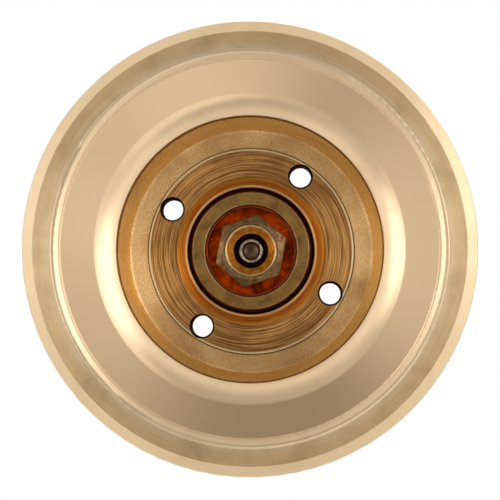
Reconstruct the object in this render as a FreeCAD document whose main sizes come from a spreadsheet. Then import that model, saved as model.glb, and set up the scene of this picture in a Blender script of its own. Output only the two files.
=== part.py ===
import FreeCAD, Part
import math
import os

import Sketcher

# Recessed pendent fire sprinkler head: a fusible plug closes a brass frame, and a heavy
# brass escutcheon with a wide rounded mouth is screwed round it by a recess cup.
# Millimetres, +Z up towards the pipe, origin on the axis at the shoulder where the
# inlet thread starts. Everything under the ceiling hangs below z = 0.

SIZES = {
    # inlet body: tapered pipe thread, wrench hexagon, screwed skirt, nozzle tube
    "thread_length": 15.0,
    "thread_radius": 10.48,
    "thread_pitch": 1.814,
    "thread_depth": 1.16,
    "inlet_bore": 6.6,
    "inlet_cone_depth": 9.0,
    "orifice_radius": 5.0,
    "nozzle_radius": 6.2,
    "nozzle_length": 21.0,
    "hex_flats": 20.5,
    "hex_height": 7.0,
    "skirt_radius": 10.0,
    "skirt_bore": 8.8,
    "skirt_length": 7.0,
    "chamber_top": -8.5,
    # frame: barrel, threaded flange with four wrench holes, collar
    "barrel_radius": 11.4,
    "barrel_bore": 9.1,
    "frame_bore": 9.75,
    "step_z": -22.2,
    "flange_radius": 17.6,
    "flange_thickness": 4.0,
    "flange_thread_pitch": 2.0,
    "flange_thread_depth": 0.7,
    "boss_radius": 15.85,
    "boss_round": 0.1,
    "boss_height": 1.5,
    "face_z": -31.3,
    "collar_height": 2.0,
    "collar_land": 0.35,
    "fillet_radius": 11.2,
    "hole_radius": 1.65,
    "hole_mouth_radius": 1.9,
    "hole_mouth_depth": 0.45,
    "hole_spacing_x": 20.4,
    "hole_spacing_y": 18.6,
    "flange_land": 0.5,
    "grip_groove": 0.8,
    "grip_width": 1.0,
    # deflector group on its guide pins
    "drop_travel": 12.5,
    "ring_bore": 6.5,
    "ring_thickness": 1.2,
    "circlip_thickness": 0.8,
    "circlip_bore": 8.8,
    "circlip_groove": 0.5,
    "circlip_gap": 5.0,
    "pin_count": 3,
    "pin_circle": 7.5,
    "pin_radius": 0.7,
    "pin_head_radius": 1.1,
    "pin_head_height": 0.8,
    "sliding_fit": 0.05,
    "film_thickness": 0.15,
    "film_bore": 3.4,
    "spring_outer": 6.0,
    "spring_bore": 3.3,
    "spring_rise": 0.7,
    "spring_thickness": 0.5,
    "cap_nose_radius": 3.2,
    "cap_nose_height": 2.6,
    "cap_radius": 4.6,
    "cap_height": 1.3,
    "stem_radius": 1.5,
    "spacer_radius": 3.2,
    "spacer_height": 1.1,
    "deflector_radius": 8.5,
    "deflector_thickness": 1.0,
    "tooth_count": 12,
    "tooth_root": 5.2,
    "tooth_slot": 1.3,
    # fusible plug
    "plate_radius": 3.0,
    "plate_thickness": 0.8,
    "washer_radius": 2.8,
    "washer_thickness": 0.5,
    "strut_radius": 1.38,
    "strut_collar_radius": 2.6,
    "strut_collar_height": 0.8,
    "strut_length": 5.4,
    "strut_dome": 0.5,
    "strut_flat": 0.25,
    "nut_flats": 10.0,
    "nut_turn": -5.5,
    "nut_head_height": 2.1,
    "nut_chamfer": 0.85,
    "nut_face_radius": 4.25,
    "shank_radius": 4.0,
    "nut_bore": 2.6,
    "nut_countersink": 3.8,
    "countersink_depth": 1.1,
    "nut_small_bore": 1.5,
    "nut_web": 2.6,
    "nut_z": -34.4,
    "lock_ring_radius": 1.9,
    "lock_ring_height": 0.9,
    "plug_radius": 9.1,
    "plug_z": -34.0,
    "plug_top": -27.5,
    "plug_bore": 6.95,
    "plug_floor": 2.6,
    "plug_web": 2.4,
    "solder_height": 4.0,
    "solder_recess": 1.6,
    "solder_film": 0.62,
    "cup_wall": 0.25,
    "cup_floor": 0.5,
    "cup_recess": 0.35,
    "cup_fit": 0.03,
    "ejector_wire": 0.3,
    "ejector_radius": 8.95,
    "ejector_turns": 3.0,
    # recess cup: ledge and thread for the flange inside, thread for the escutcheon outside
    "front_z": -45.0,
    "ledge_z": -31.0,
    "ledge_bore": 15.97,
    "wall_radius": 18.85,
    "cup_mouth_radius": 20.05,
    "cup_radius": 21.6,
    "thread_clearance": 0.05,
    "thread_room": 7.8,
    # escutcheon and its gasket; depths are measured up from the front plane
    "rim_radius": 34.0,
    "bevel_radius": 32.3,
    "bevel_depth": 1.5,
    "face_depth": 0.22,
    "ridge_radius": 29.4,
    "ridge_half": 0.3,
    "ridge_round": 0.65,
    "dish_radius": 28.3,
    "dish_depth": 0.72,
    "lip_radius": 23.25,
    "lip_depth": 1.5,
    "lip_round": 7.0,
    "throat_radius": 20.05,
    "throat_depth": 3.4,
    "seat_depth": 3.8,
    "tube_radius": 23.8,
    "tube_top": -33.0,
    "tube_flare_z": -37.6,
    "flare_round": 5.0,
    "back_throat": 25.9,
    "back_depth": 3.8,
    "rim_back_depth": 4.6,
    "rim_inner": 31.9,
    "rim_chamfer": 0.4,
    "flute_count": 72,
    "flute_start": 0.6,
    "flute_radius": 10.0,
    "flute_offset": 9.94,
    "gasket_bore": 26.4,
    "gasket_radius": 31.7,
    "gasket_thickness": 1.6,
}


class Dim:
    """A length that knows its value in millimetres and the sheet expression giving it."""

    def __init__(self, value, text):
        self.value = value
        self.text = text

    def combine(self, sign, other):
        other = as_dim(other)
        value = {
            "+": lambda a, b: a + b,
            "-": lambda a, b: a - b,
            "*": lambda a, b: a * b,
            "/": lambda a, b: a / b,
        }[sign](self.value, other.value)
        return Dim(value, f"({self.text} {sign} {other.text})")

    def __add__(self, other):
        return self.combine("+", other)

    def __sub__(self, other):
        return self.combine("-", other)

    def __mul__(self, other):
        return self.combine("*", other)

    def __truediv__(self, other):
        return self.combine("/", other)

    def __neg__(self):
        return Dim(-self.value, f"(0 - {self.text})")


def as_dim(length):
    return length if isinstance(length, Dim) else Dim(float(length), f"{length:.6f}")


def size(alias):
    """The named driving dimension, bound to its cell."""
    return Dim(SIZES[alias], f"Sizes.{alias}")


doc = FreeCAD.newDocument("sprinkler_head")


def make_sheet():
    sheet = doc.addObject("Spreadsheet::Sheet", "Sizes")
    for row, (alias, value) in enumerate(SIZES.items(), start=1):
        sheet.set(f"A{row}", alias)
        sheet.set(f"B{row}", str(value))
        sheet.setAlias(f"B{row}", alias)
    doc.recompute()


def bind(thing, prop, length):
    """Sets a property from a Dim and binds it to the sheet."""
    length = as_dim(length)
    setattr(thing, prop, length.value)
    thing.setExpression(prop, length.text)


# ---------------------------------------------------------------- sketches


def make_sketch(body, name, role="XZ_Plane", height=None):
    """A sketch on one of the body's origin planes, raised by height along its normal."""
    sketch = body.newObject("Sketcher::SketchObject", name)
    plane = next(f for f in body.Origin.OriginFeatures if f.Role == role)
    sketch.AttachmentSupport = [(plane, "")]
    sketch.MapMode = "FlatFace"
    if height is not None:
        sketch.AttachmentOffset = FreeCAD.Placement(
            FreeCAD.Vector(0, 0, height.value), FreeCAD.Rotation()
        )
        sketch.setExpression("AttachmentOffset.Base.z", height.text)
    return sketch


def pin_point(sketch, geometry, end, point):
    """Fixes one end of a sketch edge at (across, up), each bound to the sheet."""
    for kind, axis, length in zip(("DistanceX", "DistanceY"), (-2, -1), point):
        length = as_dim(length)
        if length.value == 0:
            constraint = Sketcher.Constraint("PointOnObject", geometry, end, axis)
            sketch.addConstraint(constraint)
            continue
        constraint = Sketcher.Constraint(kind, geometry, end, length.value)
        index = sketch.addConstraint(constraint)
        sketch.setExpression(f"Constraints[{index}]", length.text)


def arc_between(start, end, radius):
    """A circular arc from start to end: anticlockwise for a positive radius."""
    middle = (start + end) * 0.5
    chord = end - start
    sagitta_side = FreeCAD.Vector(-chord.y, chord.x, 0).normalize()
    height = math.sqrt(max(radius * radius - chord.Length**2 / 4, 0.0))
    centre = middle + sagitta_side * math.copysign(height, radius)
    first, last = (start, end) if radius > 0 else (end, start)
    angles = [math.atan2(p.y - centre.y, p.x - centre.x) for p in (first, last)]
    if angles[1] < angles[0]:
        angles[1] += 2 * math.pi
    circle = Part.Circle(centre, FreeCAD.Vector(0, 0, 1), abs(radius))
    return Part.ArcOfCircle(circle, *angles)


def draw_outline(sketch, points):
    """A closed loop through (across, up) points. A third entry is the signed radius of
    the arc that arrives at the point; without it the edge is straight."""
    places = [FreeCAD.Vector(as_dim(p[0]).value, as_dim(p[1]).value, 0) for p in points]
    edges = []
    for index, point in enumerate(points):
        start, end = places[index - 1], places[index]
        if len(point) == 2:
            geometry = sketch.addGeometry(Part.LineSegment(start, end))
            edges.append((geometry, 1, 2))
            continue
        radius = as_dim(point[2])
        geometry = sketch.addGeometry(arc_between(start, end, radius.value))
        edges.append((geometry, 1, 2) if radius.value > 0 else (geometry, 2, 1))
    for index, (geometry, _, end) in enumerate(edges):
        following, start, _ = edges[(index + 1) % len(edges)]
        join = Sketcher.Constraint("Coincident", geometry, end, following, start)
        sketch.addConstraint(join)
        pin_point(sketch, geometry, end, points[index][:2])
    for (geometry, _, _), point in zip(edges, points):
        if len(point) == 3:
            radius = as_dim(point[2])
            constraint = Sketcher.Constraint("Radius", geometry, abs(radius.value))
            index = sketch.addConstraint(constraint)
            sketch.setExpression(f"Constraints[{index}]", f"abs({radius.text})")


def draw_circle(sketch, centre, radius):
    place = FreeCAD.Vector(as_dim(centre[0]).value, as_dim(centre[1]).value, 0)
    circle = Part.Circle(place, FreeCAD.Vector(0, 0, 1), as_dim(radius).value)
    geometry = sketch.addGeometry(circle)
    index = sketch.addConstraint(
        Sketcher.Constraint("Radius", geometry, as_dim(radius).value)
    )
    sketch.setExpression(f"Constraints[{index}]", as_dim(radius).text)
    centre_point = 3
    pin_point(sketch, geometry, centre_point, centre)


def draw_hexagon(sketch, flats, turned=0.0):
    """A regular hexagon about the origin, by its width across flats. turned is in degrees
    from a corner on +X."""
    corner = flats / math.sqrt(3)
    points = []
    for step in range(6):
        angle = math.radians(turned + 60 * step)
        points.append((corner * math.cos(angle), corner * math.sin(angle)))
    draw_outline(sketch, points)


# ---------------------------------------------------------------- features


def new_body(name):
    body = doc.addObject("PartDesign::Body", name)
    body.Label = name
    return body


def revolve(body, name, points, kind="Revolution"):
    """Turns an outline of (radius, height) points about Z: adds it, or cuts it as a Groove."""
    sketch = make_sketch(body, f"{name}_outline")
    draw_outline(sketch, points)
    turn = body.newObject(f"PartDesign::{kind}", name)
    turn.Profile = sketch
    turn.ReferenceAxis = (sketch, ["V_Axis"])
    turn.Angle = 360
    return turn


def turned_body(name, points):
    """A piece that is one turned shape."""
    body = new_body(name)
    revolve(body, f"{name}_turning", points)
    return body


def extrude(body, name, low, height, draw, kind="Pad"):
    """Pads or pockets what draw(sketch) puts on a level plane, upwards from low."""
    sketch = make_sketch(body, f"{name}_outline", "XY_Plane", as_dim(low))
    draw(sketch)
    feature = body.newObject(f"PartDesign::{kind}", name)
    feature.Profile = sketch
    bind(feature, "Length", height)
    if kind == "Pocket":
        feature.Reversed = True
    return feature


def repeat_round(body, feature, count):
    """Repeats a feature round Z and makes the pattern the body's tip."""
    pattern = body.newObject("PartDesign::PolarPattern", f"{feature.Name}_ring")
    pattern.Originals = [feature]
    axis = next(f for f in body.Origin.OriginFeatures if f.Role == "Z_Axis")
    pattern.Axis = (axis, [""])
    pattern.Angle = 360
    pattern.Occurrences = int(count.value)
    pattern.setExpression("Occurrences", count.text)
    body.Tip = pattern
    return pattern


def must_cut(body, before):
    """Stops the build if a cut took nothing away."""
    doc.recompute()
    if body.Shape.Volume > before - 1e-3:
        raise RuntimeError(f"a cut of {body.Label} removes nothing")


def cut_thread(body, name, radius, depth, pitch, low, length, inward=True):
    """Cuts a V thread: outside a shaft when inward, otherwise inside a bore. radius is
    the crest's, and the crests keep a flat of a quarter pitch."""
    before = body.Shape.Volume
    sketch = make_sketch(body, f"{name}_outline")
    side = 1 if inward else -1
    past = 0.3
    crest = radius + past * side
    root = radius - depth * side
    half_mouth = pitch * 0.375 * (1 + past / depth.value)
    half_root = pitch * 0.06
    corners = [
        (root, low - half_root),
        (root, low + half_root),
        (crest, low + half_mouth),
        (crest, low - half_mouth),
    ]
    draw_outline(sketch, corners)
    helix = body.newObject("PartDesign::SubtractiveHelix", name)
    helix.Profile = sketch
    helix.ReferenceAxis = (sketch, ["V_Axis"])
    helix.Mode = "pitch-height-angle"
    bind(helix, "Pitch", pitch)
    bind(helix, "Height", length)
    body.Tip = helix
    must_cut(body, before)


# ---------------------------------------------------------------- shared levels

past_face = 0.5
wire_fit = 0.1
nozzle_z = -size("nozzle_length")
boss_top = size("face_z") + size("boss_height")
flange_top = boss_top + size("flange_thickness")
collar_z = size("face_z") - size("collar_height")
ring_low = size("step_z") - size("ring_thickness")
circlip_low = ring_low - size("circlip_thickness")
pin_head_low = size("step_z") + size("drop_travel")
film_low = nozzle_z - size("film_thickness")
cap_top = film_low - size("spring_rise") - size("spring_thickness")
cap_low = cap_top - size("cap_height")
deflector_top = cap_low - size("spacer_height")
deflector_low = deflector_top - size("deflector_thickness")
plate_low = deflector_low - size("plate_thickness")
washer_low = plate_low - size("washer_thickness")
strut_low = washer_low - size("strut_collar_height")
strut_tip = strut_low - size("strut_length")
plug_floor_z = size("plug_z") + size("plug_floor")
plug_web_top = plug_floor_z + size("plug_web")
solder_low = size("plug_z") + size("solder_recess")
back_z = size("front_z") + size("back_depth")
rim_back_z = size("front_z") + size("rim_back_depth")


# ---------------------------------------------------------------- fixed pieces


def make_inlet_body():
    """Pipe thread, wrench hexagon, skirt that screws into the frame, and nozzle tube."""
    body = new_body("inlet_body")
    hexagon_low = -size("hex_height")
    extrude(
        body,
        "wrench_hexagon",
        hexagon_low,
        size("hex_height"),
        lambda sketch: draw_hexagon(sketch, size("hex_flats"), 30.0),
    )
    flat_left = 0.1
    corner = size("hex_flats") / math.sqrt(3) + past_face
    bevel_start = size("hex_flats") / 2 + flat_left
    bevel = (corner - bevel_start) * math.tan(math.radians(30))
    doc.recompute()
    before = body.Shape.Volume
    top_bevel = [(bevel_start, 0), (corner, -bevel), (corner, 0)]
    revolve(body, "hexagon_top_bevel", top_bevel, "Groove")
    low_bevel = [
        (bevel_start, hexagon_low),
        (corner, hexagon_low),
        (corner, hexagon_low + bevel),
    ]
    revolve(body, "hexagon_low_bevel", low_bevel, "Groove")
    must_cut(body, before)
    lead = 0.9
    nipple = [
        (0, 0),
        (size("thread_radius"), 0),
        (size("thread_radius"), size("thread_length") - lead),
        (size("thread_radius") - lead, size("thread_length")),
        (0, size("thread_length")),
    ]
    revolve(body, "nipple", nipple)
    skirt_low = hexagon_low - size("skirt_length")
    skirt = [
        (0, hexagon_low),
        (0, nozzle_z),
        (size("nozzle_radius"), nozzle_z),
        (size("nozzle_radius"), size("chamber_top")),
        (size("skirt_bore"), size("chamber_top")),
        (size("skirt_bore"), skirt_low),
        (size("skirt_radius"), skirt_low),
        (size("skirt_radius"), hexagon_low),
    ]
    revolve(body, "skirt_and_nozzle", skirt)
    doc.recompute()
    before = body.Shape.Volume
    bore_entry = 0.6
    waterway = [
        (0, nozzle_z),
        (0, size("thread_length")),
        (size("inlet_bore") + bore_entry, size("thread_length")),
        (size("inlet_bore"), size("thread_length") - bore_entry),
        (size("inlet_bore"), size("thread_length") - size("inlet_cone_depth")),
        (size("orifice_radius"), 0),
        (size("orifice_radius"), nozzle_z),
    ]
    revolve(body, "waterway", waterway, "Groove")
    must_cut(body, before)
    cut_thread(
        body,
        "pipe_thread",
        size("thread_radius"),
        size("thread_depth"),
        size("thread_pitch"),
        size("thread_pitch"),
        size("thread_length"),
    )
    return body


def make_frame():
    """Barrel, threaded flange with its boss, collar, and four round wrench holes."""
    body = new_body("frame")
    top = -size("hex_height")
    relief = 0.5
    thread_relief = top - size("skirt_length") - relief
    collar_edge = size("frame_bore") + size("collar_land")
    collar_lean = 0.12
    collar_rise = 0.3
    fillet_run = 0.35
    fillet_round = size("fillet_radius") - collar_edge + 0.8
    flange_chamfer = 0.25
    land = size("flange_land")
    groove_floor = size("flange_radius") - size("grip_groove")
    groove_top = flange_top - land
    groove_low = groove_top - size("grip_width")
    barrel_round = 1.2
    barrel_chamfer = 0.4
    outline = [
        (size("skirt_radius"), top),
        (size("skirt_radius"), thread_relief),
        (size("barrel_bore"), thread_relief),
        (size("barrel_bore"), size("step_z")),
        (size("frame_bore"), size("step_z")),
        (size("frame_bore"), ring_low),
        (size("frame_bore") + size("circlip_groove"), ring_low),
        (size("frame_bore") + size("circlip_groove"), circlip_low),
        (size("frame_bore"), circlip_low),
        (size("frame_bore"), collar_z),
        (collar_edge, collar_z),
        (collar_edge + collar_lean, collar_z + collar_rise),
        (size("fillet_radius") + fillet_run, size("face_z"), -fillet_round),
        (size("boss_radius") - size("boss_round"), size("face_z")),
        (size("boss_radius"), size("face_z") + size("boss_round"), size("boss_round")),
        (size("boss_radius"), boss_top),
        (size("flange_radius") - flange_chamfer, boss_top),
        (size("flange_radius"), boss_top + flange_chamfer),
        (size("flange_radius"), groove_low),
        (groove_floor, groove_low),
        (groove_floor, groove_top),
        (size("flange_radius"), groove_top),
        (size("flange_radius") - land, flange_top),
        (size("barrel_radius") + barrel_round, flange_top),
        (size("barrel_radius"), flange_top + barrel_round, -barrel_round),
        (size("barrel_radius"), top - barrel_chamfer),
        (size("barrel_radius") - barrel_chamfer, top),
    ]
    revolve(body, "frame_turning", outline)
    doc.recompute()
    before = body.Shape.Volume

    def four_circles(radius):
        def draw(sketch):
            for side_x in (0.5, -0.5):
                for side_y in (0.5, -0.5):
                    across = size("hole_spacing_x") * side_x
                    along = size("hole_spacing_y") * side_y
                    draw_circle(sketch, (across, along), radius)

        return draw

    holes = four_circles(size("hole_radius"))
    depth = size("boss_height") + size("flange_thickness") + past_face * 2
    extrude(body, "wrench_holes", size("face_z") - past_face, depth, holes, "Pocket")
    must_cut(body, before)
    before = body.Shape.Volume
    mouths = extrude(
        body,
        "hole_mouths",
        size("face_z"),
        size("hole_mouth_depth"),
        four_circles(size("hole_mouth_radius")),
        "Pocket",
    )
    narrowing = "hole_mouth_radius - Sizes.hole_radius) / Sizes.hole_mouth_depth"
    mouths.setExpression("TaperAngle", f"-atan((Sizes.{narrowing})")
    must_cut(body, before)
    pitch = size("flange_thread_pitch")
    groove_middle = groove_top - size("grip_width") / 2
    cut_thread(
        body,
        "flange_thread",
        size("flange_radius"),
        size("flange_thread_depth"),
        pitch,
        boss_top - pitch,
        groove_middle - boss_top + pitch,
    )
    return body


def make_guide_ring():
    """Flat ring against the barrel's step, bored for the guide pins."""
    fit = 0.03
    outer = size("frame_bore") - fit
    body = turned_body(
        "guide_ring",
        [
            (size("ring_bore"), ring_low),
            (outer, ring_low),
            (outer, size("step_z")),
            (size("ring_bore"), size("step_z")),
        ],
    )
    doc.recompute()
    before = body.Shape.Volume
    hole = extrude(
        body,
        "pin_hole",
        ring_low - past_face,
        size("ring_thickness") + past_face * 2,
        lambda sketch: draw_circle(
            sketch, (size("pin_circle"), 0), size("pin_radius") + size("sliding_fit")
        ),
        "Pocket",
    )
    repeat_round(body, hole, size("pin_count"))
    must_cut(body, before)
    return body


def make_circlip():
    """Open spring ring in the barrel's groove, which holds the guide ring up."""
    fit = 0.05
    side_fit = 0.02
    outer = size("frame_bore") + size("circlip_groove") - fit
    low = circlip_low + side_fit
    top = ring_low
    body = turned_body(
        "guide_ring_circlip",
        [
            (size("circlip_bore"), low),
            (outer, low),
            (outer, top),
            (size("circlip_bore"), top),
        ],
    )
    doc.recompute()
    before = body.Shape.Volume

    def gap(sketch):
        half = size("circlip_gap") / 2
        inside = size("circlip_bore") - 1
        outside = outer + 1
        corners = [(inside, -half), (outside, -half), (outside, half), (inside, half)]
        draw_outline(sketch, corners)

    depth = top - low + past_face * 2
    extrude(body, "circlip_gap", low - past_face, depth, gap, "Pocket")
    must_cut(body, before)
    return body


def make_ejector_spring():
    """Coil between the circlip and the plug's top: it throws the plug clear."""
    helix = doc.addObject("Part::Helix", "ejector_line")
    wire = size("ejector_wire")
    room = circlip_low - size("plug_top")
    rise = room - wire * 2
    bind(helix, "Radius", size("ejector_radius"))
    bind(helix, "Height", rise)
    bind(helix, "Pitch", rise / size("ejector_turns"))
    circle = doc.addObject("Part::Circle", "ejector_section")
    bind(circle, "Radius", wire)
    circle.Placement = FreeCAD.Placement(
        FreeCAD.Vector(size("ejector_radius").value, 0, 0),
        FreeCAD.Rotation(FreeCAD.Vector(1, 0, 0), 90),
    )
    circle.setExpression("Placement.Base.x", size("ejector_radius").text)
    spring = doc.addObject("Part::Sweep", "ejector_spring")
    spring.Sections = [circle]
    spring.Spine = (helix, ["Edge1"])
    spring.Solid = True
    spring.Frenet = True
    spring.Label = "ejector_spring"
    low = size("plug_top") + wire
    spring.Placement.Base.z = low.value
    spring.setExpression("Placement.Base.z", low.text)
    return spring


def make_grip_ring():
    """Wire ring in the flange's groove that keeps the escutcheon from unscrewing."""
    ring = doc.addObject("Part::Torus", "grip_ring")
    ring.Label = "grip_ring"
    wire = size("grip_width") / 2 - wire_fit
    bind(ring, "Radius1", size("flange_radius") - wire)
    bind(ring, "Radius2", wire)
    height = flange_top - size("flange_land") - size("grip_width") / 2
    ring.Placement.Base.z = height.value
    ring.setExpression("Placement.Base.z", height.text)
    return ring


# ---------------------------------------------------------------- deflector group


def make_sealing_film():
    return turned_body(
        "sealing_film",
        [
            (size("film_bore"), film_low),
            (size("spring_outer"), film_low),
            (size("spring_outer"), nozzle_z),
            (size("film_bore"), nozzle_z),
        ],
    )


def make_disc_spring():
    """Coned spring washer whose outer edge closes the nozzle."""
    rise = size("spring_rise")
    thick = size("spring_thickness")
    return turned_body(
        "disc_spring",
        [
            (size("spring_bore"), film_low - rise - thick),
            (size("spring_outer"), film_low - thick),
            (size("spring_outer"), film_low),
            (size("spring_bore"), film_low - rise),
        ],
    )


def make_valve_cap():
    """Nose in the orifice, flange under the disc spring, and a stem to the deflector."""
    nose_top = cap_top + size("cap_nose_height")
    nose_taper = 0.8
    nose_narrowing = 1.2
    return turned_body(
        "valve_cap",
        [
            (0, deflector_low),
            (size("stem_radius"), deflector_low),
            (size("stem_radius"), cap_low),
            (size("cap_radius"), cap_low),
            (size("cap_radius"), cap_top),
            (size("cap_nose_radius"), cap_top),
            (size("cap_nose_radius"), nose_top - nose_taper),
            (size("cap_nose_radius") - nose_narrowing, nose_top),
            (0, nose_top),
        ],
    )


def make_spacer():
    return turned_body(
        "deflector_spacer",
        [
            (size("stem_radius"), deflector_top),
            (size("spacer_radius"), deflector_top),
            (size("spacer_radius"), cap_low),
            (size("stem_radius"), cap_low),
        ],
    )


def make_deflector():
    """Toothed disc that spreads the water, drilled for the cap's stem and guide pins."""
    body = turned_body(
        "deflector",
        [
            (size("stem_radius"), deflector_low),
            (size("deflector_radius"), deflector_low),
            (size("deflector_radius"), deflector_top),
            (size("stem_radius"), deflector_top),
        ],
    )
    doc.recompute()
    before = body.Shape.Volume
    room = size("deflector_thickness") + past_face * 2
    half = size("tooth_slot") / 2

    def slot(sketch):
        past = size("deflector_radius") + 1
        points = [
            (size("tooth_root"), -half),
            (past, -half),
            (past, half),
            (size("tooth_root"), half),
        ]
        draw_outline(sketch, points)

    tooth = extrude(body, "tooth_slot", deflector_low - past_face, room, slot, "Pocket")
    tooth.Profile[0].AttachmentOffset = FreeCAD.Placement(
        tooth.Profile[0].AttachmentOffset.Base, FreeCAD.Rotation(15.0, 0, 0)
    )
    repeat_round(body, tooth, size("tooth_count"))
    hole = extrude(
        body,
        "pin_seat",
        deflector_low - past_face,
        room,
        lambda sketch: draw_circle(sketch, (size("pin_circle"), 0), size("pin_radius")),
        "Pocket",
    )
    repeat_round(body, hole, size("pin_count"))
    must_cut(body, before)
    return body


def make_guide_pins():
    """Headed pins staked into the deflector, which slide through the guide ring."""
    pins = []
    for number in range(SIZES["pin_count"]):
        angle = 2 * math.pi * number / SIZES["pin_count"]
        shank = doc.addObject("Part::Cylinder", f"pin_shank_{number}")
        bind(shank, "Radius", size("pin_radius"))
        bind(shank, "Height", pin_head_low - deflector_low)
        head = doc.addObject("Part::Cylinder", f"pin_head_{number}")
        bind(head, "Radius", size("pin_head_radius"))
        bind(head, "Height", size("pin_head_height"))
        for piece, low in ((shank, deflector_low), (head, pin_head_low)):
            across = size("pin_circle") * math.cos(angle)
            along = size("pin_circle") * math.sin(angle)
            for axis, length in zip("xyz", (across, along, low)):
                setattr(piece.Placement.Base, axis, length.value)
                piece.setExpression(f"Placement.Base.{axis}", length.text)
        pin = doc.addObject("Part::Fuse", f"pin_{number}")
        pin.Base = shank
        pin.Tool = head
        pins.append(pin)
    group = doc.addObject("Part::Compound", "guide_pins")
    group.Label = "guide_pins"
    group.Links = pins
    return group


# ---------------------------------------------------------------- fusible plug


def make_pressure_plate():
    return turned_body(
        "pressure_plate",
        [
            (0, plate_low),
            (size("plate_radius"), plate_low),
            (size("plate_radius"), deflector_low),
            (0, deflector_low),
        ],
    )


def make_insulating_washer():
    return turned_body(
        "insulating_washer",
        [
            (0, washer_low),
            (size("washer_radius"), washer_low),
            (size("washer_radius"), plate_low),
            (0, plate_low),
        ],
    )


def make_strut_pin():
    """Collar that carries the load and a tail with a domed end, seen inside the nut."""
    dome = size("strut_dome")
    flat = size("strut_flat")
    reach = size("strut_radius") - flat
    dome_radius = (reach * reach + dome * dome) / (dome * 2)
    return turned_body(
        "strut_pin",
        [
            (0, strut_tip),
            (flat, strut_tip),
            (size("strut_radius"), strut_tip + dome, dome_radius),
            (size("strut_radius"), strut_low),
            (size("strut_collar_radius"), strut_low),
            (size("strut_collar_radius"), washer_low),
            (0, washer_low),
        ],
    )


def make_compression_nut():
    """Hexagon head in the plug's mouth, screwed shank, and a stepped bore for the pin."""
    body = new_body("compression_nut")
    low = size("nut_z")
    extrude(
        body,
        "nut_hexagon",
        low,
        size("nut_head_height"),
        lambda sketch: draw_hexagon(sketch, size("nut_flats"), SIZES["nut_turn"]),
    )
    shank = [
        (0, low + size("nut_head_height")),
        (size("shank_radius"), low + size("nut_head_height")),
        (size("shank_radius"), strut_low),
        (0, strut_low),
    ]
    revolve(body, "nut_shank", shank)
    doc.recompute()
    before = body.Shape.Volume
    past = size("nut_flats") / math.sqrt(3) + past_face
    chamfer = [
        (size("nut_face_radius"), low),
        (past, low),
        (past, low + size("nut_chamfer")),
    ]
    revolve(body, "nut_chamfer", chamfer, "Groove")
    bore_top = strut_low - size("nut_web")
    bore = [
        (0, low),
        (size("nut_countersink"), low),
        (size("nut_bore"), low + size("countersink_depth")),
        (size("nut_bore"), bore_top),
        (size("nut_small_bore"), bore_top),
        (size("nut_small_bore"), strut_low),
        (0, strut_low),
    ]
    revolve(body, "nut_bore", bore, "Groove")
    must_cut(body, before)
    return body


def make_pin_lock_ring():
    """Ring of solder cast round the pin's end, so that the pin stays in the nut."""
    ring = size("lock_ring_radius")
    bead = 0.2
    overlap = 0.15
    low = strut_tip + size("strut_dome") - overlap
    top = low + size("lock_ring_height")
    return turned_body(
        "pin_lock_ring",
        [
            (size("strut_radius"), low + bead / 2),
            (ring - bead, low, bead * 2),
            (ring, low + bead, bead * 1.25),
            (ring, top),
            (size("strut_radius"), top),
        ],
    )


def make_release_sleeve():
    """The plug: a ring round the heat collector, a web for the nut, a solder band."""
    plug = size("plug_radius")
    skirt = 0.9
    edge = 0.2
    return turned_body(
        "release_sleeve",
        [
            (size("shank_radius"), plug_floor_z),
            (size("plug_bore"), plug_floor_z),
            (size("plug_bore"), size("plug_z") + edge),
            (size("plug_bore") + edge, size("plug_z")),
            (plug - edge, size("plug_z")),
            (plug, size("plug_z") + edge),
            (plug, size("plug_top")),
            (plug - skirt, size("plug_top")),
            (plug - skirt, plug_web_top),
            (size("shank_radius"), plug_web_top),
        ],
    )


def make_fusible_solder():
    """Band of fusible solder between the plug and the collar."""
    plug = size("plug_radius")
    outer = plug + size("solder_film")
    top = solder_low + size("solder_height")
    creep = 0.15
    meniscus = 0.6
    return turned_body(
        "fusible_solder",
        [
            (plug, solder_low + creep),
            (outer, solder_low, -meniscus),
            (outer, top),
            (plug, top),
        ],
    )


def make_heat_collector():
    """Copper cup that lines the plug's recess round the nut."""
    outer = size("plug_bore") - size("cup_fit")
    inner = outer - size("cup_wall")
    floor = plug_floor_z - size("cup_floor")
    rim = size("plug_z") + size("cup_recess")
    corner = 0.15
    return turned_body(
        "heat_collector",
        [
            (size("shank_radius"), plug_floor_z),
            (size("shank_radius"), floor),
            (inner - corner, floor),
            (inner, floor - corner, -corner),
            (inner, rim),
            (outer, rim),
            (outer, plug_floor_z),
        ],
    )


# ---------------------------------------------------------------- escutcheon group


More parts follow.
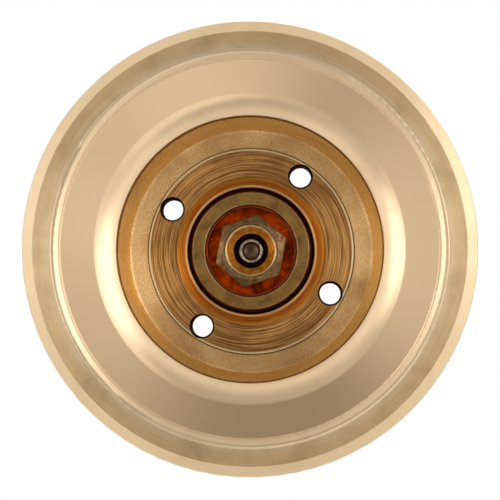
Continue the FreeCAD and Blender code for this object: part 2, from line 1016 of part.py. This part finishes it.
def make_recess_cup():
    """Sleeve round the frame's flange: ledge and inner thread for the flange, flared wall
    below the ledge, outer thread for the escutcheon."""
    body = new_body("recess_cup")
    seat = size("front_z") + size("seat_depth")
    thread = size("flange_radius") + size("thread_clearance")
    thread_top = boss_top + size("thread_room")
    outer = size("cup_radius")
    corner = 0.5
    mouth_edge = 0.25
    lead_in = 0.3
    entry = 0.8
    outline = [
        (size("ledge_bore"), size("ledge_z")),
        (size("wall_radius") - corner, size("ledge_z")),
        (size("wall_radius"), size("ledge_z") - corner, -corner),
        (size("cup_mouth_radius"), seat + mouth_edge),
        (size("cup_mouth_radius") + mouth_edge, seat),
        (outer - lead_in, seat),
        (outer, seat + lead_in),
        (outer, thread_top - corner),
        (outer - corner, thread_top),
        (thread + entry, thread_top),
        (thread, thread_top - entry),
        (thread, boss_top),
        (size("ledge_bore"), boss_top),
    ]
    revolve(body, "cup_turning", outline)
    doc.recompute()
    pitch = size("flange_thread_pitch")
    depth = size("flange_thread_depth")
    inner_low = boss_top + pitch * 0.6
    cut_thread(
        body,
        "cup_inner_thread",
        thread,
        depth,
        pitch,
        inner_low,
        size("thread_room"),
        inward=False,
    )
    outer_low = seat - pitch
    outer_length = thread_top - outer_low + pitch
    cut_thread(body, "cup_outer_thread", outer, depth, pitch, outer_low, outer_length)
    return body


def make_escutcheon():
    """Heavy ring: fluted rim, bevel, flat face, ridged step, dished face and a rounded lip,
    with a screwed tube behind it that takes the recess cup."""
    body = new_body("escutcheon")
    front = size("front_z")
    rim = size("rim_radius")
    thread = size("cup_radius") + size("thread_clearance")
    seat = front + size("seat_depth")
    lip_edge = (size("throat_radius"), front + size("throat_depth"))
    lip_top = (size("lip_radius"), front + size("lip_depth"), size("lip_round"))
    step_in = 0.1
    step_out = 0.2
    step_drop = 0.14
    step_round = 0.22
    dish_floor = front + size("dish_depth")
    face = front + size("face_depth")
    ridge_low = size("ridge_radius") - size("ridge_half")
    ridge_end = size("ridge_radius") + size("ridge_half")
    face_slope = 0.02
    bevel_end = front + size("bevel_depth")
    edge_in = 0.25
    edge_up = 0.15
    edge_round = 0.5
    tube_chamfer = 0.4
    entry = 0.6
    seat_lean = 0.2
    outline = [
        lip_edge,
        lip_top,
        (size("dish_radius") - step_in, dish_floor),
        (size("dish_radius") + step_out, dish_floor - step_drop, step_round),
        (ridge_low, face + face_slope),
        (ridge_end, face, size("ridge_round")),
        (size("bevel_radius"), face - face_slope),
        (rim - edge_in, bevel_end - edge_in),
        (rim, bevel_end + edge_up, edge_round),
        (rim, rim_back_z - size("rim_chamfer")),
        (rim - size("rim_chamfer"), rim_back_z),
        (size("rim_inner"), rim_back_z),
        (size("rim_inner"), back_z),
        (size("back_throat"), back_z),
        (size("tube_radius"), size("tube_flare_z"), -size("flare_round")),
        (size("tube_radius"), size("tube_top") - tube_chamfer),
        (size("tube_radius") - tube_chamfer, size("tube_top")),
        (thread + entry, size("tube_top")),
        (thread, size("tube_top") - entry),
        (thread, seat),
        (size("throat_radius") + seat_lean, seat),
    ]
    revolve(body, "escutcheon_turning", outline)
    doc.recompute()
    before = body.Shape.Volume
    flute = extrude(
        body,
        "rim_flute",
        front + size("flute_start"),
        size("rim_back_depth"),
        lambda sketch: draw_circle(
            sketch, (rim + size("flute_offset"), 0), size("flute_radius")
        ),
        "Pocket",
    )
    repeat_round(body, flute, size("flute_count"))
    must_cut(body, before)
    pitch = size("flange_thread_pitch")
    cut_thread(
        body,
        "escutcheon_thread",
        thread,
        size("flange_thread_depth"),
        pitch,
        seat + pitch * 0.6,
        size("tube_top") - seat,
        inward=False,
    )
    return body


def make_ceiling_gasket():
    """Soft ring that seals the escutcheon against the ceiling."""
    top = back_z + size("gasket_thickness")
    edge = 0.3
    return turned_body(
        "ceiling_gasket",
        [
            (size("gasket_bore"), back_z),
            (size("gasket_radius"), back_z),
            (size("gasket_radius"), top - edge),
            (size("gasket_radius") - edge, top, edge),
            (size("gasket_bore") + edge, top),
            (size("gasket_bore"), top - edge, edge),
        ],
    )


# ---------------------------------------------------------------- build and write


make_sheet()
NODES = [
    make_inlet_body(),
    make_frame(),
    make_guide_ring(),
    make_circlip(),
    make_ejector_spring(),
    make_grip_ring(),
    make_sealing_film(),
    make_disc_spring(),
    make_valve_cap(),
    make_spacer(),
    make_deflector(),
    make_guide_pins(),
    make_pressure_plate(),
    make_insulating_washer(),
    make_strut_pin(),
    make_compression_nut(),
    make_pin_lock_ring(),
    make_release_sleeve(),
    make_fusible_solder(),
    make_heat_collector(),
    make_recess_cup(),
    make_escutcheon(),
    make_ceiling_gasket(),
]


def check_document():
    doc.recompute()
    for item in doc.Objects:
        if "Invalid" in item.State or "Error" in item.State:
            raise RuntimeError(f"{item.Name} failed: {item.State}")
    for node in NODES:
        if node.Shape.isNull() or not node.Shape.isValid():
            raise RuntimeError(f"{node.Label} has no valid shape")


def write_nodes():
    os.makedirs("parts", exist_ok=True)
    for node in NODES:
        node.Shape.exportStep(os.path.join("parts", f"{node.Label}.step"))


check_document()
write_nodes()
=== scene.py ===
import math

import bpy
from mathutils import Matrix, Vector

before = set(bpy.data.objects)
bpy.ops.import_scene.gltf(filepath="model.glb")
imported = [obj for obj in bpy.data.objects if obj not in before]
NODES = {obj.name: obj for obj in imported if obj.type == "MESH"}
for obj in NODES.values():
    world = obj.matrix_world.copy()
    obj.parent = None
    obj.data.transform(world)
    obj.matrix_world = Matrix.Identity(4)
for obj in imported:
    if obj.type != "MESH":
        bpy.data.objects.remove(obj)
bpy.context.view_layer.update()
MM = 0.001

BRASS = (0.80, 0.62, 0.40)
BRASS_DARK = (0.50, 0.33, 0.16)
RUBBED = (0.95, 0.78, 0.52)
STEEL = (0.60, 0.59, 0.57)
STEEL_DARK = (0.38, 0.36, 0.33)
# Painted shade: a near-black colour laid inside the four frame holes, out to this reach from each
# hole's axis.
HOLE_SHADE_PAINT = (0.055, 0.022, 0.008)
HOLE_SHADE_RADIUS = 1.92

# Heights and radii in mm that part one finish from the next.
FRONT_SIDE = -30.5
NUT_BORE_FLOOR = -29.0
LIP, DISH, RIDGE, FLAT, BEVEL = 20.0, 23.27, 28.1, 29.72, 32.32

# ---------------------------------------------------------------- node graphs


class Graph:
    """A material's node tree, with short ways to add and join nodes."""

    def __init__(self, name):
        self.material = bpy.data.materials.new(name)
        self.material.use_nodes = True
        self.tree = self.material.node_tree
        self.tree.nodes.clear()
        self.output = self.tree.nodes.new("ShaderNodeOutputMaterial")
        coordinates = self.tree.nodes.new("ShaderNodeTexCoord")
        self.place = coordinates.outputs["Object"]
        self.normal = coordinates.outputs["Normal"]
        parts = self.add("ShaderNodeSeparateXYZ", Vector=self.place)
        self.x, self.y, self.z = parts.outputs
        flat = self.add("ShaderNodeCombineXYZ", X=self.x, Y=self.y)
        self.flat = flat.outputs[0]
        self.radius = self.add("ShaderNodeVectorMath", "LENGTH", self.flat).outputs["Value"]

    def feed(self, socket, value):
        if isinstance(value, bpy.types.NodeSocket):
            self.tree.links.new(value, socket)
        elif socket.type == "RGBA" and len(value) == 3:
            socket.default_value = (*value, 1.0)
        else:
            socket.default_value = value

    def add(self, kind, operation=None, *ordered, **named):
        node = self.tree.nodes.new(kind)
        if operation:
            node.operation = operation
        for socket, value in zip(node.inputs, ordered):
            self.feed(socket, value)
        for name, value in named.items():
            self.feed(node.inputs[name.replace("_", " ")], value)
        return node

    def math(self, operation, *values):
        return self.add("ShaderNodeMath", operation, *values).outputs[0]

    def noise(self, scale, detail=3.0, roughness=0.55, place=None, warp=0.0):
        node = self.add(
            "ShaderNodeTexNoise",
            Vector=place or self.place,
            Scale=scale,
            Detail=detail,
            Roughness=roughness,
            Distortion=warp,
        )
        return node.outputs[0]

    def rings(self, per_metre, detail=2.0, waver=0.0):
        """Noise that changes along the profile, and slowly round the axis: a lathe's marks."""
        around = self.add("ShaderNodeVectorMath", "SCALE", self.outward())
        around.inputs["Scale"].default_value = waver
        along = self.math("ADD", self.radius, self.math("MULTIPLY", self.z, 0.73))
        across = self.math("MULTIPLY", along, per_metre)
        place = self.add("ShaderNodeVectorMath", "ADD", around.outputs[0])
        self.feed(place.inputs[1], self.add("ShaderNodeCombineXYZ", Z=across).outputs[0])
        return self.noise(1.0, detail, place=place.outputs[0])

    def fit(self, value, low, high, to_low=0.0, to_high=1.0):
        node = self.add("ShaderNodeMapRange")
        node.interpolation_type = "SMOOTHSTEP"
        for name, v in (
            ("Value", value),
            ("From Min", low),
            ("From Max", high),
            ("To Min", to_low),
            ("To Max", to_high),
        ):
            self.feed(node.inputs[name], v)
        return node.outputs[0]

    def blend(self, factor, first, second, how="MIX"):
        node = self.tree.nodes.new("ShaderNodeMix")
        node.data_type = "RGBA"
        node.blend_type = how
        self.feed(node.inputs[0], factor)
        self.feed(node.inputs[6], first)
        self.feed(node.inputs[7], second)
        return node.outputs[2]

    def steps(self, value, stops, smooth="LINEAR"):
        """Colour ramp over (position, colour) stops."""
        node = self.add("ShaderNodeValToRGB", Fac=value)
        node.color_ramp.interpolation = smooth
        elements = node.color_ramp.elements
        while len(elements) > 1:
            elements.remove(elements[-1])
        elements[0].position = stops[0][0]
        elements[0].color = (*stops[0][1], 1.0)
        for position, colour in stops[1:]:
            elements.new(position).color = (*colour, 1.0)
        return node.outputs[0]

    def bump(self, height, strength, distance, normal=None):
        node = self.add("ShaderNodeBump", Height=height, Strength=strength, Distance=distance)
        if normal is not None:
            self.feed(node.inputs["Normal"], normal)
        return node.outputs[0]

    def rounded(self, radius):
        node = self.tree.nodes.new("ShaderNodeBevel")
        node.samples = 4
        self.feed(node.inputs["Radius"], radius)
        return node.outputs[0]

    def edges(self, radius):
        """1 on convex or concave edges, 0 on open surface."""
        soft = self.rounded(radius)
        true = self.tree.nodes.new("ShaderNodeNewGeometry").outputs["Normal"]
        dot = self.add("ShaderNodeVectorMath", "DOT_PRODUCT", soft, true).outputs["Value"]
        return self.fit(dot, 0.995, 0.93)

    def near_holes(self, centre, reach):
        """1 within reach of the axes of four holes placed evenly about the origin."""
        away = [
            self.math("SUBTRACT", self.math("ABSOLUTE", across), at * MM)
            for across, at in zip((self.x, self.y), centre)
        ]
        spot = self.add("ShaderNodeCombineXYZ", X=away[0], Y=away[1]).outputs[0]
        distance = self.add("ShaderNodeVectorMath", "LENGTH", spot).outputs["Value"]
        return self.math("LESS_THAN", distance, reach)

    def outward(self):
        """Unit vector away from the axis."""
        return self.add("ShaderNodeVectorMath", "NORMALIZE", self.flat).outputs[0]

    def profile(self):
        """Direction in the surface, square to marks that run round the axis: they smear light
        along it."""
        round_axis = self.add("ShaderNodeVectorMath", "CROSS_PRODUCT", self.outward(), (0, 0, 1))
        cross = self.add(
            "ShaderNodeVectorMath", "CROSS_PRODUCT", self.normal, round_axis.outputs[0]
        )
        turned = self.add("ShaderNodeVectorTransform", Vector=cross.outputs[0])
        turned.convert_from, turned.convert_to = "OBJECT", "WORLD"
        return turned.outputs[0]

    def finish(self, **settings):
        shader = self.tree.nodes.new("ShaderNodeBsdfPrincipled")
        for name, value in settings.items():
            self.feed(shader.inputs[name.replace("_", " ")], value)
        self.tree.links.new(shader.outputs[0], self.output.inputs["Surface"])
        return self.material


def metal(
    name,
    colour,
    tarnish,
    roughness=0.3,
    rough_spread=0.12,
    patina=0.5,
    patina_scale=140.0,
    lathe=0.0,
    lathe_pitch=6000.0,
    lines=0.5,
    waver=1.2,
    grain=0.0,
    grain_scale=4000.0,
    speckle=0.0,
    spin=0.0,
    edge=0.08,
    edge_light=0.35,
    zones=(),
    front=1.0,
    holes=None,
):
    """Bare metal: clouded tarnish, tool marks round the axis, blasted grain and rubbed edges.
    zones are (radius, colour, tarnish) for what lies below z = front and inside the radius. Some
    zones are painted shade, painted highlight and painted bounce light, noted where they are
    given.
    holes, when given, paints shade inside four holes."""
    g = Graph(name)
    clouds = g.noise(patina_scale, 5.0, 0.6, warp=0.4)
    specks = g.noise(patina_scale * 9, 3.0, 0.7)
    cover = g.fit(g.math("ADD", clouds, g.math("MULTIPLY", specks, 0.25)), 0.42, 0.85)
    cover = g.math("MULTIPLY", cover, patina)
    low_side = g.math("LESS_THAN", g.z, front * MM)
    for limit, *pair in zones:
        inside = g.math("LESS_THAN", g.radius, limit * MM)
        inside = g.math("MULTIPLY", inside, low_side)
        colour, tarnish = (g.blend(inside, old, new) for old, new in zip((colour, tarnish), pair))
    base = g.blend(cover, colour, tarnish)
    marks = g.rings(lathe_pitch, 3.0, waver)
    if lathe:
        base = g.blend(g.math("MULTIPLY", g.fit(marks, 0.38, 0.62), lathe * lines), base, tarnish)
    fine = g.noise(grain_scale, 3.0, 0.6)
    if speckle:
        base = g.blend(g.fit(fine, 0.38, 0.62, 0.0, speckle), base, tarnish)
    worn = g.edges(edge * MM)
    base = g.blend(g.math("MULTIPLY", worn, edge_light), base, RUBBED)
    if holes:
        # painted shade inside the four holes
        base = g.blend(g.near_holes(holes, HOLE_SHADE_RADIUS * MM), base, HOLE_SHADE_PAINT)
    rough = g.fit(clouds, 0.3, 0.75, roughness - rough_spread, roughness + rough_spread)
    normal = g.rounded(edge * MM)
    if lathe:
        normal = g.bump(marks, lathe, 0.03 * MM, normal)
    if grain:
        normal = g.bump(fine, grain, 0.08 * MM, normal)
    nicks = g.fit(g.noise(420.0, 2.0, 0.5, warp=1.5), 0.70, 0.78)
    normal = g.bump(nicks, 0.12, -0.05 * MM, normal)
    return g.finish(
        Base_Color=base,
        Metallic=1.0,
        Roughness=rough,
        Specular_Tint=g.blend(1.0, base, (3.0, 3.0, 3.0), "MULTIPLY"),
        Anisotropic=spin,
        Tangent=g.profile(),
        Normal=normal,
    )


def escutcheon_brass():
    """Brass finished in rings: bevel, brushed flat, bright ridges, polished dish, soft lip."""
    g = Graph("escutcheon")
    reach = 36 * MM
    ring = g.math("DIVIDE", g.radius, reach)

    # Each band: inner radius, roughness, strength of brush marks, cloudiness, anisotropy.
    bands = [
        (0.0, 0.30, 0.30, 0.50, 0.50),
        (LIP, 0.20, 0.10, 0.25, 0.20),
        (DISH, 0.11, 0.00, 0.03, 0.00),
        (RIDGE, 0.32, 0.10, 0.20, 0.20),
        (FLAT, 0.42, 0.90, 0.80, 0.93),
        (BEVEL, 0.26, 0.25, 0.30, 0.40),
    ]

    def by_band(column):
        stops = [(band[0] * MM / reach, (band[column],) * 3) for band in bands]
        return g.steps(ring, stops, "CONSTANT")

    rough, brushed, cloudy, spin = (by_band(column) for column in (1, 2, 3, 4))
    front = g.fit(g.z, -40.4 * MM, -41.0 * MM)
    clouds = g.noise(150.0, 5.0, 0.62, warp=0.5)
    streaks = g.rings(2600.0, 4.0, 3.0)
    dull = g.math("MULTIPLY", g.fit(clouds, 0.40, 0.75), cloudy)
    colours = [
        (20.4, (0.80, 0.60, 0.395)),
        (21.6, (0.86, 0.645, 0.43)),
        (22.9, (0.92, 0.69, 0.455)),
        (23.4, (0.83, 0.605, 0.395)),
        (28.0, (0.83, 0.605, 0.395)),
        (29.5, (0.90, 0.70, 0.47)),
        (31.0, (0.80, 0.565, 0.32)),
        (32.1, (0.80, 0.565, 0.32)),
        (32.5, (0.77, 0.585, 0.375)),
    ]
    bright = g.steps(ring, [(at * MM / reach, colour) for at, colour in colours])
    base = g.blend(dull, bright, (0.60, 0.425, 0.23))
    marks = g.math("MULTIPLY", g.fit(streaks, 0.3, 0.75), g.math("MULTIPLY", brushed, 0.35))
    base = g.blend(marks, base, (0.52, 0.38, 0.22))
    worn = g.edges(0.10 * MM)
    base = g.blend(g.math("MULTIPLY", worn, 0.35), base, (0.95, 0.80, 0.58))
    back_clouds = g.fit(g.noise(220.0, 5.0, 0.6), 0.4, 0.7)
    back = g.blend(back_clouds, (0.72, 0.54, 0.31), (0.50, 0.34, 0.17))
    base = g.blend(front, back, base)
    rough = g.math("ADD", rough, g.math("MULTIPLY", g.fit(clouds, 0.3, 0.8, -0.04, 0.08), cloudy))
    normal = g.bump(streaks, g.math("MULTIPLY", brushed, 0.5), 0.02 * MM, g.rounded(0.18 * MM))
    nicks = g.fit(g.noise(380.0, 2.0, 0.5, warp=2.0), 0.74, 0.80)
    normal = g.bump(nicks, g.math("MULTIPLY", cloudy, 0.3), -0.06 * MM, normal)
    return g.finish(
        Base_Color=base,
        Metallic=1.0,
        Roughness=rough,
        Anisotropic=spin,
        Tangent=g.profile(),
        Normal=normal,
    )


materials = {
    "inlet_body": metal("inlet_body", (0.78, 0.59, 0.34), BRASS_DARK, 0.28, lathe=0.25),
    "frame": metal(
        "frame", (0.76, 0.58, 0.33), BRASS_DARK, 0.44, lathe=0.9, spin=0.93, grain=0.05,
        patina=0.25, lathe_pitch=7800.0, lines=1.0, waver=1.5, front=FRONT_SIDE,
        holes=(10.2, 9.3),
        zones=[
            # rim of the disc (burnished edge with a painted highlight), its turned face, fillet
            # (painted bounce light), collar, bore (painted shade)
            (15.86, (1.0, 0.86, 0.58), (1.0, 0.78, 0.48)),
            (15.55, (0.86, 0.465, 0.16), (0.20, 0.09, 0.027)),
            # fillet painted deep orange: painted bounce light in the corner
            (11.35, (1.0, 0.47, 0.085), (0.57, 0.22, 0.034)),
            (10.2, (0.98, 0.54, 0.25), (0.80, 0.38, 0.15)),
            # bore painted near black: painted shade in the gap round the sleeve
            (9.79, (0.06, 0.012, 0.006), (0.03, 0.006, 0.003)),
        ],
    ),
    "guide_ring": metal("guide_ring", BRASS, BRASS_DARK, 0.3, lathe=0.3),
    "recess_cup": metal(
        "recess_cup", (0.80, 0.60, 0.34), BRASS_DARK, 0.50, grain=0.3, grain_scale=3000.0,
        speckle=0.75, spin=0.95, front=FRONT_SIDE,
        zones=[
            # painted shadow line in the seam under the lip, wall, ledge
            (20.6, (0.34, 0.17, 0.05), (0.20, 0.09, 0.02)),
            (19.90, (0.90, 0.56, 0.21), (0.60, 0.31, 0.08)),
            (18.72, (1.0, 0.80, 0.45), (0.90, 0.50, 0.18)),
        ],
    ),
    "escutcheon": escutcheon_brass(),
    "deflector": metal("deflector", (0.72, 0.47, 0.27), (0.45, 0.26, 0.12), 0.3),
    "valve_cap": metal("valve_cap", BRASS, BRASS_DARK, 0.28, lathe=0.3),
    "deflector_spacer": metal("deflector_spacer", BRASS, BRASS_DARK, 0.3, lathe=0.3),
    "release_sleeve": metal(
        # the side outside the face is near black: painted shade in the gap round the sleeve
        "release_sleeve", (0.07, 0.014, 0.006), (0.04, 0.008, 0.004), 0.38, lathe=0.4, grain=0.3,
        patina=0.9, patina_scale=420.0, edge=0.22, edge_light=0.3, front=FRONT_SIDE,
        zones=[(9.06, (0.42, 0.235, 0.072), (0.17, 0.088, 0.028))],
    ),
    "compression_nut": metal(
        "compression_nut", (0.25, 0.136, 0.057), (0.045, 0.022, 0.009), 0.22,
        rough_spread=0.06, edge=0.45, edge_light=0.5, grain=0.25,
        patina=0.8, patina_scale=1100.0, front=NUT_BORE_FLOOR,
        zones=[
            # countersink, then bore painted near black as painted shade
            (3.86, (0.92, 0.58, 0.19), (0.40, 0.16, 0.03)),
            (2.64, (0.014, 0.005, 0.003), (0.010, 0.003, 0.002)),
        ],
    ),
    "heat_collector": metal(
        "heat_collector", (0.34, 0.045, 0.003), (0.20, 0.024, 0.002), 0.6, patina=1.0,
        patina_scale=330.0,
        # deep red-orange inside the cup: copper's own colour with painted bounce light
        zones=[(6.64, (0.84, 0.104, 0.001), (0.17, 0.018, 0.001))],
    ),
    "strut_pin": metal("strut_pin", (0.115, 0.066, 0.045), (0.06, 0.032, 0.022), 0.2),
    "pin_lock_ring": metal(
        "pin_lock_ring", (0.60, 0.48, 0.38), (0.16, 0.12, 0.09), 0.34,
        grain=1.0, grain_scale=1500.0, speckle=0.8,
    ),
    # solder painted near black: painted shade where it sits in the gap
    "fusible_solder": metal("fusible_solder", (0.09, 0.014, 0.006), (0.04, 0.007, 0.003), 0.5),
}
STEEL_NODES = (
    "guide_ring_circlip",
    "ejector_spring",
    "guide_pins",
    "disc_spring",
    "pressure_plate",
)
for node in STEEL_NODES:
    materials[node] = metal(node, STEEL, STEEL_DARK, 0.25, patina=0.3)


def moulded(name, colour, dark, roughness, pore_scale, pore):
    """Foam, rubber or plastic: mottled, with small pores."""
    g = Graph(name)
    mottle = g.noise(260.0, 4.0, 0.6)
    base = g.blend(g.fit(mottle, 0.35, 0.7), colour, dark)
    pores = g.noise(pore_scale, 2.0, 0.5)
    base = g.blend(g.fit(pores, 0.56, 0.66, 0.0, 0.5), base, tuple(c * 0.4 for c in dark))
    normal = g.bump(g.fit(pores, 0.5, 0.66), pore, -0.15 * MM, g.rounded(0.1 * MM))
    rough = g.fit(mottle, 0.3, 0.7, roughness - 0.08, roughness + 0.08)
    return g.finish(Base_Color=base, Roughness=rough, Normal=normal)


materials["ceiling_gasket"] = moulded(
    "ceiling_gasket", (0.030, 0.030, 0.031), (0.018, 0.018, 0.019), 0.75, 2600.0, 0.8
)
materials["grip_ring"] = moulded(
    "grip_ring", (0.022, 0.022, 0.022), (0.014, 0.014, 0.014), 0.5, 5000.0, 0.2
)
materials["sealing_film"] = moulded(
    "sealing_film", (0.80, 0.80, 0.77), (0.66, 0.66, 0.62), 0.4, 6000.0, 0.1
)
materials["insulating_washer"] = moulded(
    "insulating_washer", (0.62, 0.55, 0.40), (0.42, 0.36, 0.24), 0.55, 4000.0, 0.3
)

for name, thing in NODES.items():
    thing.data.materials.clear()
    thing.data.materials.append(materials[name])

# ---------------------------------------------------------------- floor


def pale_floor():
    g = Graph("floor")
    speckle = g.noise(60.0, 4.0, 0.6)
    base = g.blend(speckle, (0.80, 0.80, 0.79), (0.84, 0.84, 0.83))
    return g.finish(Base_Color=base, Roughness=0.7)


mesh = bpy.data.meshes.new("floor")
half = 3.0
level = -0.9
mesh.from_pydata(
    [(-half, -half, level), (half, -half, level), (half, half, level), (-half, half, level)],
    [],
    [(0, 1, 2, 3)],
)
floor = bpy.data.objects.new("floor", mesh)
bpy.context.collection.objects.link(floor)
mesh.materials.append(pale_floor())
floor.visible_glossy = False

# ---------------------------------------------------------------- camera

TURN = math.radians(14.3)
RIGHT = Vector((math.cos(TURN), math.sin(TURN), 0))
UP = Vector((math.sin(TURN), -math.cos(TURN), 0))
FRONT = Vector((0, 0, -45 * MM))


def towards(angle, fall):
    """Unit vector out of the underside: angle as the camera sees it, anticlockwise from its
    right, and how far the direction leans away from straight down, both in degrees."""
    a, f = math.radians(angle), math.radians(fall)
    side = RIGHT * math.cos(a) + UP * math.sin(a)
    return side * math.sin(f) + Vector((0, 0, -1)) * math.cos(f)


# The camera looks almost straight up, from a little to one side of the axis.
DISTANCE = 0.340
camera_data = bpy.data.cameras.new("camera")
camera = bpy.data.objects.new("camera", camera_data)
bpy.context.collection.objects.link(camera)
bpy.context.scene.camera = camera
stand = FRONT + RIGHT * 7 * MM - UP * 12 * MM + Vector((0, 0, -DISTANCE))
aim = FRONT + RIGHT * 0.09 * MM - UP * 0.27 * MM
back = (stand - aim).normalized()
across = UP.cross(back).normalized()
camera.matrix_world = Matrix((across, back.cross(across), back)).transposed().to_4x4()
camera.location = stand
camera_data.sensor_width = 36.0
camera_data.lens = 165.3
camera_data.clip_start = 0.01
camera_data.clip_end = 20.0

# ---------------------------------------------------------------- light


class Sky:
    """World light: an even tent with soft boxes in given directions, white behind the object."""

    def __init__(self, level, tint):
        self.world = bpy.data.worlds.new("studio")
        bpy.context.scene.world = self.world
        self.world.use_nodes = True
        self.tree = self.world.node_tree
        self.tree.nodes.clear()
        self.direction = self.new("ShaderNodeTexCoord").outputs["Generated"]
        self.total = self.new("ShaderNodeRGB").outputs[0]
        self.total.default_value = (*(level * c for c in tint), 1.0)

    def new(self, kind):
        return self.tree.nodes.new(kind)

    def join(self, source, socket):
        self.tree.links.new(source, socket)

    def soft_box(self, angle, fall, reach, strength, tint, core):
        """Adds light around one direction: full out to core degrees from it, gone at reach."""
        dot = self.new("ShaderNodeVectorMath")
        dot.operation = "DOT_PRODUCT"
        self.join(self.direction, dot.inputs[0])
        dot.inputs[1].default_value = towards(angle, fall)
        lobe = self.new("ShaderNodeMapRange")
        lobe.interpolation_type = "SMOOTHERSTEP"
        self.join(dot.outputs["Value"], lobe.inputs["Value"])
        lobe.inputs["From Min"].default_value = math.cos(math.radians(reach))
        lobe.inputs["From Max"].default_value = math.cos(math.radians(core))
        scale = self.new("ShaderNodeVectorMath")
        scale.operation = "SCALE"
        scale.inputs[0].default_value = tuple(strength * c for c in tint)
        self.join(lobe.outputs[0], scale.inputs["Scale"])
        add = self.new("ShaderNodeVectorMath")
        add.operation = "ADD"
        self.join(self.total, add.inputs[0])
        self.join(scale.outputs[0], add.inputs[1])
        self.total = add.outputs[0]

    def finish(self):
        seen, glow = self.new("ShaderNodeBackground"), self.new("ShaderNodeBackground")
        seen.inputs["Color"].default_value = (1, 1, 1, 1)
        self.join(self.total, glow.inputs["Color"])
        choose = self.new("ShaderNodeMixShader")
        self.join(self.new("ShaderNodeLightPath").outputs["Is Camera Ray"], choose.inputs[0])
        self.join(glow.outputs[0], choose.inputs[1])
        self.join(seen.outputs[0], choose.inputs[2])
        self.join(choose.outputs[0], self.new("ShaderNodeOutputWorld").inputs["Surface"])


WHITE = (1, 1, 1)
# Each light: angle, fall, reach, strength, colour, core. A negative strength darkens the tent:
# straight below the face, and above and below the middle as the camera sees them.
LIGHTS = [
    (0, 0, 80, -0.36, WHITE, 34),
    (0, 0, 42, -0.29, WHITE, 12),
    (14, 74, 40, 0.40, (1.0, 0.99, 0.99), 0),
    (16, 54, 30, 1.0, (1.0, 0.99, 0.99), 0),
    (24, 28, 26, 0.46, (1.0, 0.99, 0.98), 0),
    (176, 50, 24, 0.95, (1.0, 1.0, 1.03), 0),
    (172, 70, 40, 0.24, WHITE, 0),
    (178, 24, 22, 0.46, WHITE, 0),
    (306, 24, 28, 0.42, WHITE, 0),
    (338, 58, 28, 0.24, WHITE, 0),
    (268, 22, 22, 0.14, WHITE, 0),
    (268, 62, 36, -0.12, WHITE, 0),
    (88, 54, 36, -0.12, WHITE, 0),
    (60, 140, 40, 1.0, WHITE, 0),
]
sky = Sky(1.02, (1.0, 0.98, 0.925))
for light in LIGHTS:
    sky.soft_box(*light)
sky.finish()

bpy.context.scene.view_settings.view_transform = "Standard"
bpy.context.scene.view_settings.look = "None"
